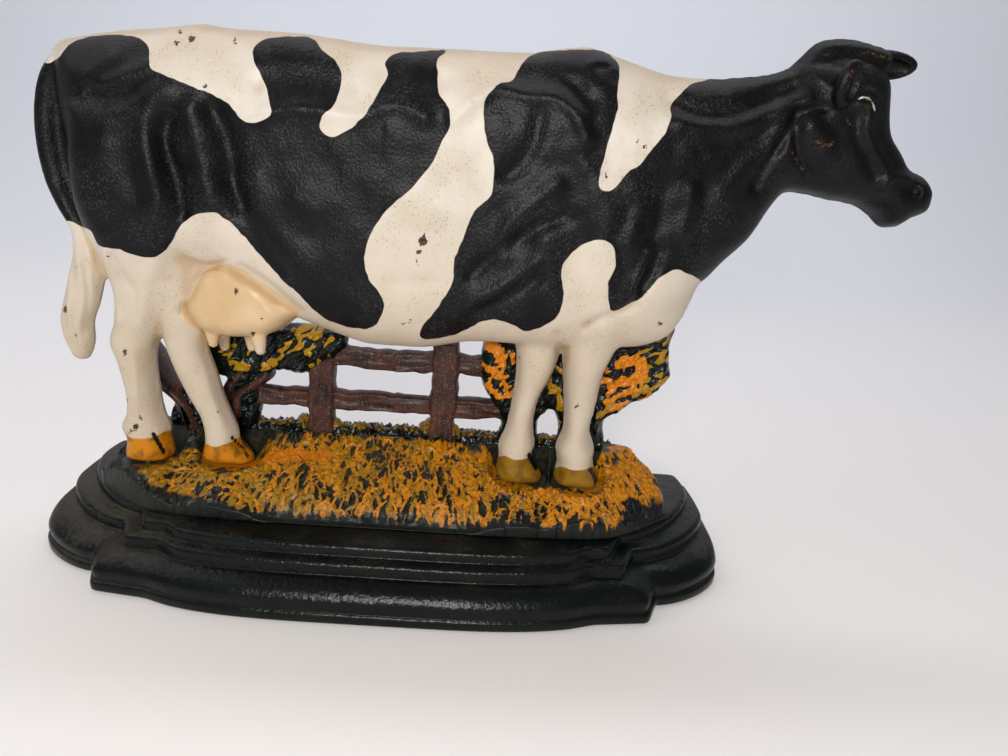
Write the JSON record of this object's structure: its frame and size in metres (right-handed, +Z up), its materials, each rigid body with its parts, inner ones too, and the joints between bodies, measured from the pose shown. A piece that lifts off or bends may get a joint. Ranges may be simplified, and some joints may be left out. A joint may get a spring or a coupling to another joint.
{
  "type": "figural doorstop",
  "caption": "Cast iron doorstop: a standing dairy cow in two hollow halves on a grass bank with an openwork fence and hedge, over a stepped hollow plinth.",
  "frame": {"origin": "on the surface it stands on, in the middle of the whole object's footprint", "axes": "+X from the tail to the muzzle, +Y from the bowed front to the flat back, +Z up"},
  "size_m": [0.3452, 0.0926, 0.2203],
  "materials": {
    "plinth_enamel": "glossy green-black enamel on a sand-cast surface",
    "bank_enamel": "orange and ochre brushed over green-black, satin",
    "cow_enamel": "cream enamel with black patches, chipped, pebbly cast surface",
    "fence_enamel": "brown enamel fence, green-black and ochre leaves",
    "screw_steel": "zinc plated",
    "pad_felt": "cream felt"
  },
  "bodies": {
    "root": {"plinth": "plinth_enamel", "grass_bank": "bank_enamel", "cow_near_half": "cow_enamel", "cow_far_half": "cow_enamel", "fence_and_hedge": "fence_enamel", "body_screw_rear": "screw_steel", "body_screw_middle": "screw_steel", "body_screw_front": "screw_steel", "hoof_screw_near_hind": "screw_steel", "hoof_screw_far_hind": "screw_steel", "hoof_screw_far_front": "screw_steel", "hoof_screw_near_front": "screw_steel", "post_screw_left": "screw_steel", "post_screw_right": "screw_steel", "bank_screw_front_left": "screw_steel", "bank_screw_front_right": "screw_steel", "bank_screw_back_left": "screw_steel", "bank_screw_back_right": "screw_steel", "felt_pad_front": "pad_felt", "felt_pad_left": "pad_felt", "felt_pad_right": "pad_felt", "felt_pad_back": "pad_felt"}
  },
  "joints": []
}
